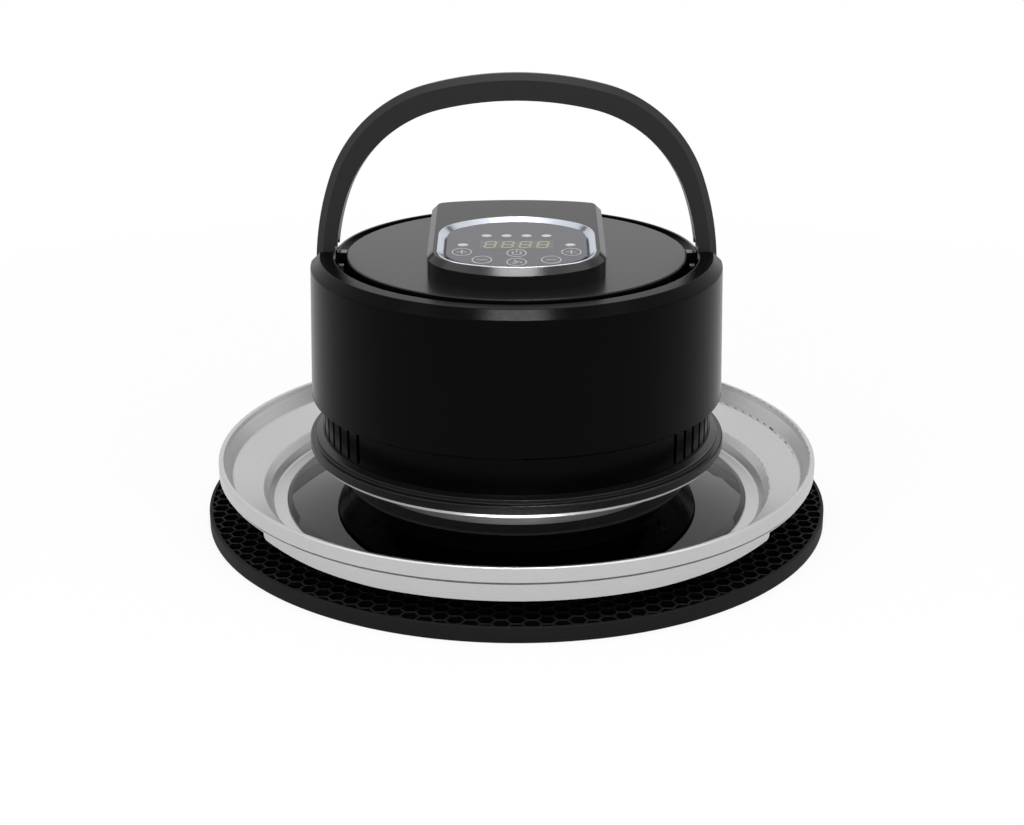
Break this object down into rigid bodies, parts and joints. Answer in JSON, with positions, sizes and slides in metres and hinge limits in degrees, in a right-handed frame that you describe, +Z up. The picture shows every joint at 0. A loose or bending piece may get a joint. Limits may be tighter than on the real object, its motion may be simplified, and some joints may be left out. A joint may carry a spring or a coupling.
{
  "type": "air fryer lid set",
  "caption": "Air-frying lid head with folding bail handle and top control panel, seated in a steel and glass adapter lid on a round silicone mat.",
  "frame": {"origin": "centre of the mat's underside, on the vertical axis that the mat, the adapter lid and the head share", "axes": "+Z up; -Y towards the user, on the side that the control panel faces; +X to the right as seen from the front; the handle's hinge line runs along X"},
  "size_m": [0.375, 0.375, 0.2629],
  "materials": {
    "silicone": "matt moulded silicone",
    "stainless": "spun and lightly brushed",
    "polished_steel": "polished",
    "tempered_glass": "clear polished, ground edge",
    "seal_rubber": "matt",
    "black_plastic": "fine satin",
    "gloss_black": "moulded gloss",
    "handle_plastic": "fine satin",
    "panel_tint": "polished smoked panel",
    "bright_trim": "satin bright plating",
    "lamp_lens": "clear moulded",
    "display": "segment display behind the panel",
    "galvanised": "zinc coated",
    "heater_sheath": "heat-darkened tube",
    "mica": "pressed mineral board",
    "cast_fan": "stamped",
    "fan_plastic": "glass-filled",
    "copper": "varnished wire",
    "lamination": "varnished steel stack",
    "board": "solder-masked",
    "parts_plastic": "moulded",
    "wire": "sleeved bundle",
    "spring_steel": "drawn wire"
  },
  "bodies": {
    "base": {"silicone_mat": "silicone"},
    "adapter": {"adapter_ring": "stainless", "glass_dome": "tempered_glass", "glass_gasket": "seal_rubber", "collar_gasket": "seal_rubber", "centre_collar": "stainless"},
    "head": {"base_plate": "polished_steel", "flange_ring": "black_plastic", "vent_skirt": "black_plastic", "base_screws": "galvanised", "heater_shroud": "polished_steel", "element_guard": "stainless", "heater_element": "heater_sheath", "element_brackets": "stainless", "insulation_disc": "mica", "element_seals": "parts_plastic", "temperature_probe": "polished_steel", "thermal_cutout": "galvanised", "motor_posts": "galvanised", "motor_lower_plate": "galvanised", "motor_upper_plate": "galvanised", "motor_bearings": "spring_steel", "motor_stator": "lamination", "motor_windings": "copper", "drum_shell": "gloss_black", "cord_gland": "black_plastic", "rear_deck": "black_plastic", "top_frame": "black_plastic", "intake_grille": "black_plastic", "top_disc": "black_plastic", "board_tray": "black_plastic", "tray_screws": "galvanised", "board_standoffs": "parts_plastic", "power_board": "board", "power_components": "parts_plastic", "wiring_loom": "wire", "pod_body": "black_plastic", "pod_trim": "bright_trim", "panel_glass": "panel_tint", "display_module": "display", "indicator_lamps": "lamp_lens", "touch_pads": "copper", "control_board": "board", "hinge_blocks": "black_plastic", "hinge_bushes": "parts_plastic", "interlock_switch": "parts_plastic", "plunger_spring": "spring_steel", "switch_bracket": "galvanised"},
    "handle": {"handle_bail": "handle_plastic", "hinge_pins": "galvanised", "switch_cam": "parts_plastic"},
    "rotor": {"motor_shaft": "spring_steel", "motor_rotor": "cast_fan", "hot_air_fan": "cast_fan", "fan_nut": "galvanised", "cooling_fan": "fan_plastic"},
    "plunger": {"switch_plunger": "parts_plastic"}
  },
  "joints": [
    {"name": "adapter_lift", "type": "slide", "parent": "base", "child": "adapter", "axis": [0, 0, 1], "range_m": [0, 0.12]},
    {"name": "head_lift", "type": "slide", "parent": "adapter", "child": "head", "axis": [0, 0, 1], "range_m": [0, 0.12]},
    {"name": "handle_fold", "type": "hinge", "parent": "head", "child": "handle", "pos_m": [0, 0.0105, 0.15], "axis": [-1, 0, 0], "range_deg": [-8, 82]},
    {"name": "rotor_spin", "type": "hinge", "parent": "head", "child": "rotor", "pos_m": [0, 0, 0.07], "axis": [0, 0, 1], "continuous": true},
    {"name": "plunger_travel", "type": "slide", "parent": "head", "child": "plunger", "axis": [0, 0, -1], "range_m": [-0.0003, 0.0024], "deforming": ["plunger_spring"]}
  ],
  "couplings": [
    {"joint": "plunger_travel", "follows": "handle_fold", "m_per_rad": 0.0016}
  ]
}
